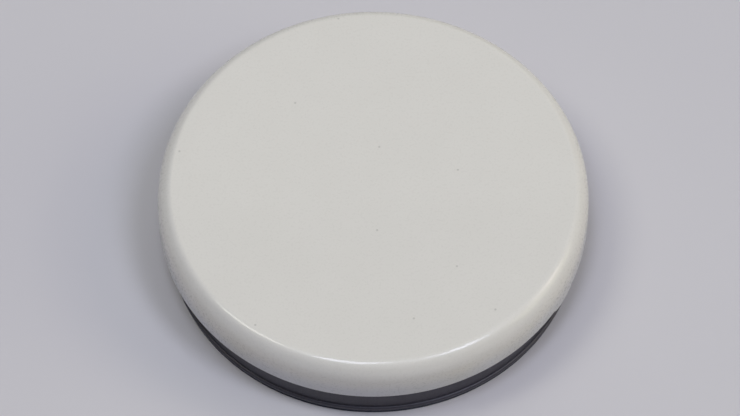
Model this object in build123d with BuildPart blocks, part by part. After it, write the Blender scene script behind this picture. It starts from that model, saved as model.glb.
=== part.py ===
"""Coin vibration motor: an eccentric rotor on a fixed shaft, in a flat round case under a white cover.

Millimetres, +Z up. The origin is the centre of the underside, on the spin axis.
The flex tongue with its contact pads comes out at +Y. The rotor's heavy side rests towards +X.
"""

from build123d import *

import os
from math import cos, radians, sin

os.makedirs("parts", exist_ok=True)

# ---- overall ----
motor_radius = 6.0
motor_height = 2.7

# ---- mounting pad and contacts under the base ----
pad_radius = 5.70
pad_thickness = 0.15
pad_slot_width = 2.2
pad_slot_start = 2.4
contact_size = (0.7, 1.9)
contact_spacing = 0.9
contact_centre = 3.75
contact_thickness = 0.03
contact_corner = 0.15

# ---- base plate: flange, spigot, recess for the flex and a collar for the shaft ----
plate_bottom = pad_thickness
flange_thickness = 0.15
flange_radius = 5.75
flange_notch_width = 2.2
flange_notch_start = 5.1
flange_notch_depth = 1.5
spigot_height = 0.10
spigot_radius = 5.47
flange_top = plate_bottom + flange_thickness
plate_top = flange_top + spigot_height
recess_radius = 2.35
channel_width = 2.0
collar_radius = 0.75
collar_top = 0.85
collar_chamfer = 0.05

# ---- shaft, washers and bearing sleeve ----
shaft_radius = 0.40
shaft_chamfer = 0.04
running_clearance = 0.02
washer_radius = 0.80
washer_thickness = 0.10
bearing_radius = 0.80
bearing_chamfer = 0.05

# ---- steel case ----
case_radius = 5.68
case_wall = 0.20
case_top = 2.35
case_corner = 0.30
case_inner_corner = 0.12

# ---- white cover, with the stub of its moulding gate at the rim ----
cover_height = 1.34
cover_bore = 5.70
cover_edge_reach = 0.40
cover_edge_drop = 0.62
cover_inner_corner = 0.15
cover_rim_round = 0.04
bond_thickness = 0.05
bond_radius = 5.2
gate_angle = -28
gate_width = 0.95
gate_drop = 0.18
gate_rise = 0.10
gate_outer_radius = 5.99
gate_inner_radius = 5.73

# ---- ring magnet ----
magnet_inner = 2.5
magnet_outer = 5.0
magnet_thickness = 0.60
magnet_chamfer = 0.06
glue_thickness = 0.03
glue_margin = 0.05

# ---- flex circuit ----
flex_thickness = 0.10
flex_inner = 0.80
flex_outer = 2.30
flex_width = 1.8
flex_return_end = 2.6
flex_overlap = 0.2

# ---- leaf brushes ----
brush_thickness = 0.06
brush_width = 0.50
brush_offset = 1.15
brush_heel = -1.80
brush_bend = -1.00
brush_knee = 1.15
brush_toe = 1.45
brush_toe_drop = 0.12
brush_knee_lift = 0.014
brush_bend_radius = 0.20
brush_gap = 0.01
finger_slit_width = 0.08
finger_slit_start = -0.30
solder_radius = 0.22
solder_height = 0.10

# ---- rotor ----
segment_thickness = 0.03
segment_count = 6
segment_inner = 1.00
segment_outer = 2.25
segment_half_angle = 27
segment_corner = 0.08
board_thickness = 0.15
board_bottom = 1.18
board_hub_radius = 2.35
board_outer = 5.1
board_half_angle = 104
rotor_outer = 5.2
rotor_top = 2.00
rotor_hub_radius = 1.50
rotor_half_angle = 95.5
frame_floor = 0.06
coil_angle = 62
coil_half_angle = 30
coil_inner = 1.80
coil_outer = 5.0
coil_band = 0.68
coil_corner = 0.80
coil_thickness = 0.55
coil_fit = 0.02
weight_inner = 2.4
weight_half_angle = 26
weight_thickness = 0.61
weight_corner = 0.15
weight_chamfer = 0.04
joint_radius = 0.16
joint_height = 0.08
joint_angle = 99.8
joint_radii = (3.0, 4.2)

# ---- levels worked out from the sizes above ----
cover_bottom = motor_height - cover_height
cover_ceiling = case_top + bond_thickness
case_ceiling = case_top - case_wall
case_bore = case_radius - case_wall
bearing_bottom = collar_top + washer_thickness + running_clearance
bearing_top = case_ceiling - washer_thickness - running_clearance
magnet_bottom = plate_top + glue_thickness
board_top = board_bottom + board_thickness
pocket_bottom = board_top + frame_floor
segment_bottom = board_bottom - segment_thickness
flex_bottom = flange_top
return_top = plate_bottom
brush_foot_level = plate_top + brush_thickness / 2
brush_knee_level = segment_bottom - brush_gap - brush_thickness / 2
coil_outline = (coil_inner, coil_outer, coil_half_angle, coil_corner)


def sector(inner, outer, half_angle, corner=0.0, grow=0.0):
    """A sector of a ring about +X, its corners rounded and its outline then grown or shrunk."""
    with BuildSketch() as shape:
        with BuildLine():
            outside = CenterArc((0, 0), outer, -half_angle, 2 * half_angle)
            inside = CenterArc((0, 0), inner, -half_angle, 2 * half_angle)
            Line(inside @ 0, outside @ 0)
            Line(inside @ 1, outside @ 1)
        make_face()
        if corner:
            fillet(shape.vertices(), radius=corner)
        if grow:
            offset(amount=grow)
    return shape.sketch


def ring(outer, inner):
    """A flat ring, drawn in the sketch that calls it."""
    Circle(outer)
    Circle(inner, mode=Mode.SUBTRACT)


def save(part, name):
    """Labels a finished piece and writes its STEP file."""
    part.label = name
    export_step(part, f"parts/{name}.step")


# ---- white cover: a shallow cap with a softly rounded top edge ----
edge_start = motor_radius - cover_edge_reach
edge_end = motor_height - cover_edge_drop
with BuildPart() as cover:
    with BuildSketch(Plane.XZ) as cover_profile:
        with BuildLine():
            Line((0, motor_height), (edge_start, motor_height))
            EllipticalCenterArc(
                (edge_start, edge_end), cover_edge_reach, cover_edge_drop, start_angle=0, arc_size=90
            )
            Line((motor_radius, edge_end), (motor_radius, cover_bottom))
            Line((motor_radius, cover_bottom), (cover_bore, cover_bottom))
            Line((cover_bore, cover_bottom), (cover_bore, cover_ceiling))
            Line((cover_bore, cover_ceiling), (0, cover_ceiling))
            Line((0, cover_ceiling), (0, motor_height))
        make_face()
        inner_corner = cover_profile.vertices().sort_by_distance((cover_bore, cover_ceiling))[0]
        fillet(inner_corner, radius=cover_inner_corner)
        rim_corners = cover_profile.vertices().group_by(Axis.Y)[0]
        fillet(rim_corners, radius=cover_rim_round)
    revolve(axis=Axis.Z)
    with BuildSketch(Plane.XY.offset(cover_bottom - gate_drop).rotated((0, 0, gate_angle))):
        ring(gate_outer_radius, gate_inner_radius)
        with Locations((motor_radius, 0)):
            Rectangle(motor_radius, gate_width, mode=Mode.INTERSECT)
    extrude(amount=gate_drop + gate_rise)
save(cover.part, "cover")

# ---- film that bonds the cover to the case ----
with BuildPart() as cover_adhesive:
    with BuildSketch(Plane.XY.offset(case_top)):
        Circle(bond_radius)
    extrude(amount=bond_thickness)
save(cover_adhesive.part, "cover_adhesive")

# ---- steel case: a drawn cup, open downwards, pierced for the shaft's top end ----
with BuildPart() as case:
    with BuildSketch(Plane.XZ) as case_profile:
        with BuildLine():
            Polyline(
                (shaft_radius, case_top),
                (case_radius, case_top),
                (case_radius, flange_top),
                (case_bore, flange_top),
                (case_bore, case_ceiling),
                (shaft_radius, case_ceiling),
                close=True,
            )
        make_face()
        outer_corner = case_profile.vertices().sort_by_distance((case_radius, case_top))[0]
        fillet(outer_corner, radius=case_corner)
        inner_corner = case_profile.vertices().sort_by_distance((case_bore, case_ceiling))[0]
        fillet(inner_corner, radius=case_inner_corner)
    revolve(axis=Axis.Z)
save(case.part, "case")

# ---- base plate: flange and spigot that close the case, a recess for the flex, a collar for the shaft ----
with BuildPart() as base_plate:
    with BuildSketch(Plane.XY.offset(plate_bottom)):
        Circle(flange_radius)
    extrude(amount=flange_thickness)
    with BuildSketch(Plane.XY.offset(flange_top)):
        ring(spigot_radius, recess_radius)
    extrude(amount=spigot_height)
    with BuildSketch(Plane.XY.offset(flange_top)):
        with Locations((0, spigot_radius / 2)):
            Rectangle(channel_width, 1.2 * spigot_radius)
    extrude(amount=spigot_height, mode=Mode.SUBTRACT)
    with BuildSketch(Plane.XY.offset(plate_bottom)):
        with Locations((0, flange_notch_start)):
            Rectangle(flange_notch_width, flange_notch_depth, align=(Align.CENTER, Align.MIN))
    extrude(amount=flange_thickness + spigot_height, mode=Mode.SUBTRACT)
    with BuildSketch(Plane.XY.offset(flange_top)):
        Circle(collar_radius)
    extrude(amount=collar_top - flange_top)
    with Locations((0, 0, plate_bottom)):
        Hole(shaft_radius)
    collar_edges = base_plate.edges().filter_by(GeomType.CIRCLE).group_by(Axis.Z)[-1]
    chamfer(collar_edges.sort_by(SortBy.RADIUS)[-1], length=collar_chamfer)
save(base_plate.part, "base_plate")

# ---- double-sided mounting pad, slotted round the contact tongue ----
with BuildPart() as adhesive_pad:
    with BuildSketch():
        Circle(pad_radius)
        with Locations((0, pad_slot_start)):
            Rectangle(pad_slot_width, pad_radius, align=(Align.CENTER, Align.MIN), mode=Mode.SUBTRACT)
    extrude(amount=pad_thickness)
save(adhesive_pad.part, "adhesive_pad")

# ---- shaft: a ground pin, pressed into the collar and into the case ----
with BuildPart() as shaft:
    with BuildSketch(Plane.XY.offset(plate_bottom)):
        Circle(shaft_radius)
    extrude(amount=case_top - plate_bottom)
    chamfer(shaft.edges().filter_by(GeomType.CIRCLE), length=shaft_chamfer)
save(shaft.part, "shaft")

# ---- thrust washers, one on the collar and one under the case's top ----
washer_levels = {
    "lower_washer": collar_top,
    "upper_washer": case_ceiling - washer_thickness,
}
for name, level in washer_levels.items():
    with BuildPart() as washer:
        with BuildSketch(Plane.XY.offset(level)):
            ring(washer_radius, shaft_radius)
        extrude(amount=washer_thickness)
    save(washer.part, name)

# ---- ring magnet and the glue under it ----
with BuildPart() as magnet:
    with BuildSketch(Plane.XY.offset(magnet_bottom)):
        ring(magnet_outer, magnet_inner)
    extrude(amount=magnet_thickness)
    chamfer(magnet.edges().filter_by(GeomType.CIRCLE), length=magnet_chamfer)
save(magnet.part, "magnet")

with BuildPart() as magnet_adhesive:
    with BuildSketch(Plane.XY.offset(plate_top)):
        ring(magnet_outer - 2 * glue_margin, magnet_inner + 2 * glue_margin)
    extrude(amount=glue_thickness)
save(magnet_adhesive.part, "magnet_adhesive")

# ---- flex circuit: a ring round the collar, a tongue along +Y, folded under the plate's edge ----
fold_level = (flange_top + return_top) / 2
fold_middle_radius = (flange_thickness + flex_thickness) / 2
upper_middle = flex_bottom + flex_thickness / 2
lower_middle = return_top - flex_thickness / 2
with BuildPart() as flex_circuit:
    with BuildSketch(Plane.XY.offset(flex_bottom)):
        ring(flex_outer, flex_inner)
        with Locations((0, flex_inner + flex_overlap)):
            Rectangle(flex_width, flex_outer - flex_inner, align=(Align.CENTER, Align.MIN))
    extrude(amount=flex_thickness)
    with BuildSketch(Plane.YZ):
        with BuildLine():
            Line((flex_outer - flex_overlap, upper_middle), (flange_notch_start, upper_middle))
            CenterArc((flange_notch_start, fold_level), fold_middle_radius, -90, 180)
            Line((flange_notch_start, lower_middle), (flex_return_end, lower_middle))
        trace(line_width=flex_thickness)
    extrude(amount=flex_width / 2, both=True)
save(flex_circuit.part, "flex_circuit")

# ---- two gold contact pads, facing down on the folded tongue ----
with BuildPart() as contact_pads:
    with BuildSketch(Plane.XY.offset(return_top - flex_thickness - contact_thickness)):
        with Locations((0, contact_centre)):
            with GridLocations(contact_spacing, 0, 2, 1):
                RectangleRounded(*contact_size, radius=contact_corner)
    extrude(amount=contact_thickness)
save(contact_pads.part, "contact_pads")

# ---- leaf brushes: a foot on the flex, two rising fingers, a knee under the commutator ----
for name, side in {"brush_positive": 1, "brush_negative": -1}.items():
    with BuildPart() as brush:
        with BuildSketch(Plane.YZ.offset(side * brush_offset)):
            with BuildLine():
                FilletPolyline(
                    (brush_heel, brush_foot_level),
                    (brush_bend, brush_foot_level),
                    (brush_knee, brush_knee_level + brush_knee_lift),
                    (brush_toe, brush_knee_level - brush_toe_drop),
                    radius=brush_bend_radius,
                )
            trace(line_width=brush_thickness)
        extrude(amount=brush_width / 2, both=True)
        with BuildSketch(Plane.XY.offset(plate_top)):
            with Locations((side * brush_offset, finger_slit_start)):
                Rectangle(finger_slit_width, 2 * brush_toe, align=(Align.CENTER, Align.MIN))
        extrude(amount=board_bottom - plate_top, mode=Mode.SUBTRACT)
    save(brush.part, name)


def solder_dome(radius, height, level, spots):
    """Low domes of solder with their flat undersides at one level."""
    ball = (radius**2 + height**2) / (2 * height)
    with BuildPart() as domes:
        for x, y in spots:
            with Locations((x, y, level + height - ball)):
                Sphere(ball)
        with BuildSketch(Plane.XY.offset(level)):
            with Locations(*spots):
                Circle(2 * radius)
        extrude(amount=height, mode=Mode.INTERSECT)
    return domes.part


# ---- solder on the brush feet ----
foot_spots = [(side * brush_offset, (brush_heel + brush_bend) / 2) for side in (1, -1)]
save(solder_dome(solder_radius, solder_height, plate_top + brush_thickness, foot_spots), "brush_solder")

# ---- bearing sleeve of the rotor ----
with BuildPart() as bearing:
    with BuildSketch(Plane.XY.offset(bearing_bottom)):
        ring(bearing_radius, shaft_radius + running_clearance)
    extrude(amount=bearing_top - bearing_bottom)
    outer_edges = bearing.edges().filter_by(GeomType.CIRCLE).group_by(SortBy.RADIUS)[-1]
    chamfer(outer_edges, length=bearing_chamfer)
save(bearing.part, "bearing")

# ---- commutator board: a disc round the sleeve and a fan under the coils ----
with BuildPart() as commutator_board:
    with BuildSketch(Plane.XY.offset(board_bottom)):
        add(sector(bearing_radius, board_outer, board_half_angle, weight_corner))
        Circle(board_hub_radius)
        Circle(bearing_radius, mode=Mode.SUBTRACT)
    extrude(amount=board_thickness)
save(commutator_board.part, "commutator_board")

# ---- gold commutator segments under the board ----
with BuildPart() as commutator_segments:
    for number in range(segment_count):
        turn = (number + 0.5) * 360 / segment_count
        with BuildSketch(Plane.XY.offset(segment_bottom).rotated((0, 0, turn))):
            add(sector(segment_inner, segment_outer, segment_half_angle, segment_corner))
        extrude(amount=segment_thickness)
save(commutator_segments.part, "commutator_segments")

# ---- two flat coils, one each side of the weight ----
for name, side in {"coil_left": 1, "coil_right": -1}.items():
    with BuildPart() as coil:
        with BuildSketch(Plane.XY.offset(pocket_bottom).rotated((0, 0, side * coil_angle))):
            add(sector(*coil_outline))
            add(sector(*coil_outline, grow=-coil_band), mode=Mode.SUBTRACT)
        extrude(amount=coil_thickness)
    save(coil.part, name)

# ---- tungsten counterweight between the coils ----
with BuildPart() as counterweight:
    with BuildSketch(Plane.XY.offset(pocket_bottom)):
        add(sector(weight_inner, rotor_outer, weight_half_angle, weight_corner))
    extrude(amount=weight_thickness)
    top_edges = counterweight.edges().group_by(Axis.Z)[-1]
    chamfer(top_edges, length=weight_chamfer)
save(counterweight.part, "counterweight")

# ---- moulded rotor frame: hub, thin floor, posts in the coils, webs round the coils and the weight ----
with BuildPart() as rotor_frame:
    with BuildSketch(Plane.XY.offset(board_top)):
        add(sector(bearing_radius, rotor_outer, rotor_half_angle))
        Circle(rotor_hub_radius)
        Circle(bearing_radius, mode=Mode.SUBTRACT)
    extrude(amount=rotor_top - board_top)
    for side in (1, -1):
        with BuildSketch(Plane.XY.offset(pocket_bottom).rotated((0, 0, side * coil_angle))):
            add(sector(*coil_outline, grow=coil_fit))
            add(sector(*coil_outline, grow=-coil_band - coil_fit), mode=Mode.SUBTRACT)
        extrude(amount=rotor_top - pocket_bottom, mode=Mode.SUBTRACT)
    with BuildSketch(Plane.XY.offset(pocket_bottom)):
        add(sector(weight_inner, 1.1 * rotor_outer, weight_half_angle))
    extrude(amount=rotor_top - pocket_bottom, mode=Mode.SUBTRACT)
save(rotor_frame.part, "rotor_frame")

# ---- solder where the coils' ends meet the board ----
joint_spots = [
    (radius * cos(radians(side * joint_angle)), radius * sin(radians(side * joint_angle)))
    for side in (1, -1)
    for radius in joint_radii
]
save(solder_dome(joint_radius, joint_height, board_top, joint_spots), "coil_solder")
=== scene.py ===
# %% [markdown]
# # A coin vibration motor, cell by cell
# The motor is a stack of thin round things: a white cap over a dark steel case, a base plate, a magnet,
# and an eccentric rotor on a fixed pin. The CAD frame gives every piece its place and size, so this lesson
# only makes the surfaces. Radii and levels are read from the frame's boxes where a box shows them, and the
# other sizes are named values that repeat the part's own.

# %% Load the frame
import math
import random

import bmesh
import bpy
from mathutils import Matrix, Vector, geometry


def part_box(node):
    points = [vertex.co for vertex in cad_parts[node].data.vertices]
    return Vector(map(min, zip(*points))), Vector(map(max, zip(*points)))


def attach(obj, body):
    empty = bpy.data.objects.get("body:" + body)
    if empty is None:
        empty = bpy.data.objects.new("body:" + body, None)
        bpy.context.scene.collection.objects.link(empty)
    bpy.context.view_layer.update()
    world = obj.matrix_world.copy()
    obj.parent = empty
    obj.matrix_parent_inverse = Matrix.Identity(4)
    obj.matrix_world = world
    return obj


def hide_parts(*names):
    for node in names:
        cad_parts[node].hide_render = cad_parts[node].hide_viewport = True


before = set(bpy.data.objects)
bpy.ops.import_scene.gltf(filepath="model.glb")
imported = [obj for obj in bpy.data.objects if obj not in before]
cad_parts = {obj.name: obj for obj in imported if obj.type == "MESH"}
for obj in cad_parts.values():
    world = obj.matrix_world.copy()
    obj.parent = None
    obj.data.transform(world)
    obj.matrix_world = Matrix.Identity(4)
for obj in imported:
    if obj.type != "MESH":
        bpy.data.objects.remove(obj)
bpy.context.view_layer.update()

# %% [markdown]
# ## Working in millimetres
# The scene is in metres, but every part here is a few tenths of a millimetre thick. Thinking in millimetres
# keeps the numbers readable, and one factor turns them into metres when a mesh is made. `low`, `high` and
# `reach` read a CAD node's levels and radius, so that the pieces follow the frame if it changes.

# %% Levels and radii from the frame
MM = 0.001


def low(node):
    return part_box(node)[0].z / MM


def high(node):
    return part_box(node)[1].z / MM


def reach(node):
    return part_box(node)[1].x / MM


def round_reach(node):
    """The largest radius that stays inside a round node's box, whose mesh has flat facets."""
    lowest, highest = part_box(node)
    return min(-lowest.x, -lowest.y, highest.x, highest.y) / MM


print("cover radius", round(round_reach("cover"), 4))
print("cover from", round(low("cover"), 3), "to", round(high("cover"), 3))

# %% [markdown]
# ## Outlines
# Almost every piece is either turned on the motor's axis or cut from sheet, so both start from a flat
# outline. A corner is given as a point and a radius, and the arc is worked out. The alternative, a bevel
# modifier, rounds every edge alike; real pressed and moulded parts have a different radius at each corner.

# %% Arcs, rounded outlines and insets
def arc(centre, radii, start, end, steps):
    """Points along an elliptical arc, both ends included. Angles are in degrees."""
    turns = [math.radians(start + (end - start) * k / steps) for k in range(steps + 1)]
    return [(centre[0] + radii[0] * math.cos(t), centre[1] + radii[1] * math.sin(t)) for t in turns]


def rounded(corners, steps=6, closed=True):
    """An outline through corners (x, y, radius): an arc at each, with a support point on either side."""
    outline = []
    count = len(corners)
    for k, (x, y, radius) in enumerate(corners):
        if radius <= 0 or (not closed and k in (0, count - 1)):
            outline.append((x, y))
            continue
        here = Vector((x, y))
        before = (Vector(corners[k - 1][:2]) - here).normalized()
        after = (Vector(corners[(k + 1) % count][:2]) - here).normalized()
        half = before.angle(after) / 2
        tangent = radius / math.tan(half)
        centre = here + (before + after).normalized() * (radius / math.sin(half))
        first, last = here + before * tangent - centre, here + after * tangent - centre
        turn = first.angle_signed(last)
        support = 0.2 * radius
        outline.append(tuple(here + before * (tangent + support)))
        for s in range(steps + 1):
            angle = -turn * s / steps
            outline.append((
                centre.x + first.x * math.cos(angle) - first.y * math.sin(angle),
                centre.y + first.x * math.sin(angle) + first.y * math.cos(angle),
            ))
        outline.append(tuple(here + after * (tangent + support)))
    return outline


def inset(loop, amount, least_share=0.4):
    """A closed outline moved to its left by amount: inwards on an anticlockwise one."""
    moved = []
    for k, point in enumerate(loop):
        here = Vector(point)
        into = (here - Vector(loop[k - 1])).normalized()
        out = (Vector(loop[(k + 1) % len(loop)]) - here).normalized()
        left = Vector((-into.y - out.y, into.x + out.x))
        left = left.normalized() if left.length > 1e-9 else Vector((-into.y, into.x))
        share = max(least_share, left.dot(Vector((-into.y, into.x))))
        moved.append(tuple(here + left * (amount / share)))
    return moved


def circle(radius, steps=160, centre=(0, 0), clockwise=False):
    """A round outline."""
    loop = arc(centre, (radius, radius), 0, 360, steps)[:-1]
    return loop[::-1] if clockwise else loop


trial_plate = rounded([(0, 0, 0.2), (2, 0, 0.2), (2, 1, 0.2), (0, 1, 0.2)])
print("a 2 by 1 plate with 0.2 corners has", len(trial_plate), "points")

# %% [markdown]
# ## From outline to mesh
# `Shape` gathers points and faces. Its skins join one loop of points to the next, which gives clean quads
# that follow the form: round a turned part, or along a bent strip. Caps with holes are the one place where
# triangles are simpler, because they are flat.

# %% The Shape that every piece is gathered in
TURN_STEPS, SMALL_STEPS = 256, 96


class Shape:
    """Points in millimetres and faces of one piece, which may be several closed skins."""

    def __init__(self):
        self.points, self.faces, self.flat = [], [], set()

    def skin(self, loops, around=False):
        """Quads between successive loops of equal length. around joins the last loop to the first."""
        first, size = len(self.points), len(loops[0])
        for loop in loops:
            self.points.extend(loop)
        for i in range(len(loops) if around else len(loops) - 1):
            a, b = first + i * size, first + (i + 1) % len(loops) * size
            for k in range(size):
                n = (k + 1) % size
                self.faces.append((a + k, a + n, b + n, b + k))
        return first

    def cap(self, starts_and_loops):
        """Flat triangles inside an outer loop, leaving out the loops after it."""
        index = [start + k for start, loop in starts_and_loops for k in range(len(loop))]
        flat_loops = [[Vector(point) for point in loop] for _, loop in starts_and_loops]
        for triangle in geometry.tessellate_polygon(flat_loops):
            self.flat.add(len(self.faces))
            self.faces.append(tuple(index[k] for k in triangle))

    def turned(self, outline, centre=(0, 0), steps=TURN_STEPS):
        """An outline of (radius, height) turned on an upright axis, where an open one starts and ends."""
        closed = outline[0][0] > 1e-6
        body = outline if closed else outline[1:-1]
        angles = [2 * math.pi * k / steps for k in range(steps)]
        turn = [(math.cos(t), math.sin(t)) for t in angles]
        loops = [[(centre[0] + r * c, centre[1] + r * s, z) for c, s in turn] for r, z in body]
        first = self.skin(loops, around=closed)
        if not closed:
            for (r, z), ring in ((outline[0], first), (outline[-1], first + (len(body) - 1) * steps)):
                self.points.append((centre[0], centre[1], z))
                pole = len(self.points) - 1
                self.faces.extend((pole, ring + (k + 1) % steps, ring + k) for k in range(steps))
        return self

    def slab(self, outline, bottom, top, edge=0.02, holes=(), edge_steps=3):
        """A flat piece cut from sheet: anticlockwise outline, clockwise holes, softly rounded edges."""
        quarter = [math.pi / 2 * k / edge_steps for k in range(edge_steps + 1)]
        levels = [(edge * (1 - math.sin(t)), bottom + edge * (1 - math.cos(t))) for t in quarter]
        levels += [(edge * (1 - math.cos(t)), top - edge * (1 - math.sin(t))) for t in quarter]
        under, over = [], []
        for loop in (outline, *holes):
            loops = [[(x, y, z) for x, y in inset(loop, amount)] for amount, z in levels]
            first = self.skin(loops)
            under.append((first, loops[0]))
            over.append((first + (len(loops) - 1) * len(loop), loops[-1]))
        self.cap(under)
        self.cap(over)
        return self

    def strip(self, path, sides, thickness, edge=0.01):
        """A bent strip of sheet: its middle line as (y, z), and where its two sides are along that line."""
        t, loops = thickness / 2, []
        for k, (point, (left, right)) in enumerate(zip(path, sides)):
            ahead = Vector(path[min(k + 1, len(path) - 1)]) - Vector(path[max(k - 1, 0)])
            ahead.normalize()
            corners = [(left, -t), (right, -t), (right, t), (left, t)]
            section = rounded([(x, n, edge) for x, n in corners], steps=2)
            loops.append([(x, point[0] - n * ahead.y, point[1] + n * ahead.x) for x, n in section])
        first, size = self.skin(loops), len(loops[0])
        for start in (first, first + (len(loops) - 1) * size):
            self.flat.add(len(self.faces))
            self.faces.append(tuple(start + k for k in range(size)))
        return self

    def piece(self, name, body, slot, finish, stands_for):
        """Turns the shape into an object that rides on a body, in its finish."""
        mesh = bpy.data.meshes.new(name)
        mesh.from_pydata([tuple(v * MM for v in p) for p in self.points], [], self.faces)
        mesh.validate()
        soft = [k not in self.flat for k in range(len(self.faces))]
        if len(mesh.polygons) == len(soft):
            mesh.polygons.foreach_set("use_smooth", soft)
        work = bmesh.new()
        work.from_mesh(mesh)
        bmesh.ops.recalc_face_normals(work, faces=work.faces)
        work.to_mesh(mesh)
        work.free()
        made = bpy.data.objects.new(name, mesh)
        bpy.context.scene.collection.objects.link(made)
        mesh.materials.append(finish)
        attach(made, body)
        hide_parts(*stands_for)
        print(f"{name}: {len(mesh.vertices)} points, {len(mesh.polygons)} faces")


# %% [markdown]
# ## Shader maths as plain expressions
# A finish is a node tree, and long trees are hard to read as a list of links. Here an output socket is
# wrapped in `Signal`, so that `1 - mask * 0.5` adds the nodes it needs. `Finish.node` makes every other
# node: its settings go in first, because they decide which sockets exist.

# %% Signals and finishes
class Signal:
    """An output socket. Python's operators on it add Math nodes, or Vector Math nodes for a vector."""

    def __init__(self, finish, socket):
        self.finish, self.socket = finish, socket

    def join(self, operation, other, swapped=False):
        kind = "VectorMath" if self.socket.type == "VECTOR" else "Math"
        if kind == "VectorMath" and not isinstance(other, Signal):
            other = (other, other, other) if isinstance(other, (int, float)) else other
        pair = (other, self) if swapped else (self, other)
        return self.finish.node(kind, {"operation": operation}, {0: pair[0], 1: pair[1]})

    def __add__(self, other):
        return self.join("ADD", other)

    def __sub__(self, other):
        return self.join("SUBTRACT", other)

    def __rsub__(self, other):
        return self.join("SUBTRACT", other, swapped=True)

    def __mul__(self, other):
        return self.join("MULTIPLY", other)

    def __pow__(self, other):
        return self.join("POWER", other)

    __radd__, __rmul__ = __add__, __mul__

    def most(self, other):
        return self.join("MAXIMUM", other)

    def size(self):
        return self.finish.node("Math", {"operation": "ABSOLUTE"}, {0: self})

    def ramp(self, start, end, to=(0.0, 1.0)):
        """Eases from to[0] at start to to[1] at end."""
        settings = {"interpolation_type": "SMOOTHSTEP"}
        values = {"Value": self, "From Min": start, "From Max": end, "To Min": to[0], "To Max": to[1]}
        return self.finish.node("MapRange", settings, values)

    def band(self, half, fade=0.03):
        """1 where the value is near zero, fading out towards half on either side."""
        return self.size().ramp(half, half - fade)


class Finish:
    """A material with one Principled shader: plain values are set here, and patterns are fed in."""

    def __init__(self, name, **plain):
        self.material = bpy.data.materials.new(name)
        self.material.use_nodes = True
        self.tree = self.material.node_tree
        self.shader = self.tree.nodes["Principled BSDF"]
        for key, value in plain.items():
            socket = self.shader.inputs[key.replace("_", " ")]
            socket.default_value = (*value, 1.0) if isinstance(value, tuple) else value

    def node(self, kind, settings=None, values=None, output=None):
        """Adds one node: its settings first, then values or links for its sockets, by name or by number."""
        made = self.tree.nodes.new("ShaderNode" + kind)
        for key, value in (settings or {}).items():
            setattr(made, key, value)
        for key, value in (values or {}).items():
            named = [s for s in made.inputs if s.enabled and s.name == key]
            socket = made.inputs[key] if isinstance(key, int) else named[0]
            if isinstance(value, Signal):
                self.tree.links.new(value.socket, socket)
            else:
                socket.default_value = value
        outputs = [s for s in made.outputs if s.enabled and output in (None, s.name)]
        return Signal(self, outputs[0])

    def place(self):
        """Where a point is in the motor's frame, in millimetres."""
        return self.node("TexCoord", output="Object") * (1 / MM)

    def parts(self, vector):
        """The three numbers of a vector."""
        split = self.node("SeparateXYZ", values={0: vector})
        return [Signal(self, s) for s in split.socket.node.outputs]

    def noise(self, scale, detail=3.0, rough=0.5, at=None):
        """Soft noise between 0 and 1, scale being how many blotches a millimetre holds."""
        values = {"Vector": at or self.place(), "Scale": scale, "Detail": detail, "Roughness": rough}
        return self.node("TexNoise", {"noise_dimensions": "3D"}, values)

    def mix(self, factor, first, second):
        """One colour turning into another as factor goes from 0 to 1."""
        first = (*first, 1.0) if isinstance(first, tuple) else first
        second = (*second, 1.0) if isinstance(second, tuple) else second
        return self.node("Mix", {"data_type": "RGBA"}, {"Factor": factor, "A": first, "B": second})

    def feed(self, **signals):
        """Links patterns to the shader's sockets."""
        for key, signal in signals.items():
            self.tree.links.new(signal.socket, self.shader.inputs[key.replace("_", " ")])
        return self.material

    def relief(self, height, depth):
        """Bumps whose height runs from 0 to 1, depth in millimetres."""
        bump = self.node("Bump", values={"Height": height, "Strength": 1.0, "Distance": depth * MM})
        return self.feed(Normal=bump)


print("a wrapped socket: 1 - x adds", (1 - Finish("trial").noise(1.0)).socket.node.bl_idname)
bpy.data.materials.remove(bpy.data.materials["trial"])

# %% [markdown]
# ## The white cover
# On the real motor this is a thin moulded cap, glossy and faintly warm. Moulded white is never one flat
# colour: the wall has faint yellow patches, the top picks up fine specks, and the skin has a shallow
# ripple from the mould. The wall is also painted darker and a little bluer towards the rim: painted shade.
# Noise, a sparse Voronoi and ramps over the height make these, kept far under what the eye reads as a
# pattern.

# %% Finish of the white cover
def sparse_specks(finish, per_mm, radius, kept, flat=False):
    """Small dots, 1 inside and 0 outside. kept is the share of cells with one; flat ignores the height."""
    settings = {"feature": "F1", "voronoi_dimensions": "2D" if flat else "3D"}
    values = {"Vector": finish.place(), "Scale": per_mm, "Randomness": 1.0}
    near = finish.node("TexVoronoi", settings, values, "Distance")
    lucky = finish.node("TexVoronoi", settings, values, "Color")
    chance = finish.node("SeparateColor", values={0: lucky})
    return near.ramp(radius * per_mm, 0.4 * radius * per_mm) * chance.ramp(kept, kept - 0.01)


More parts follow.
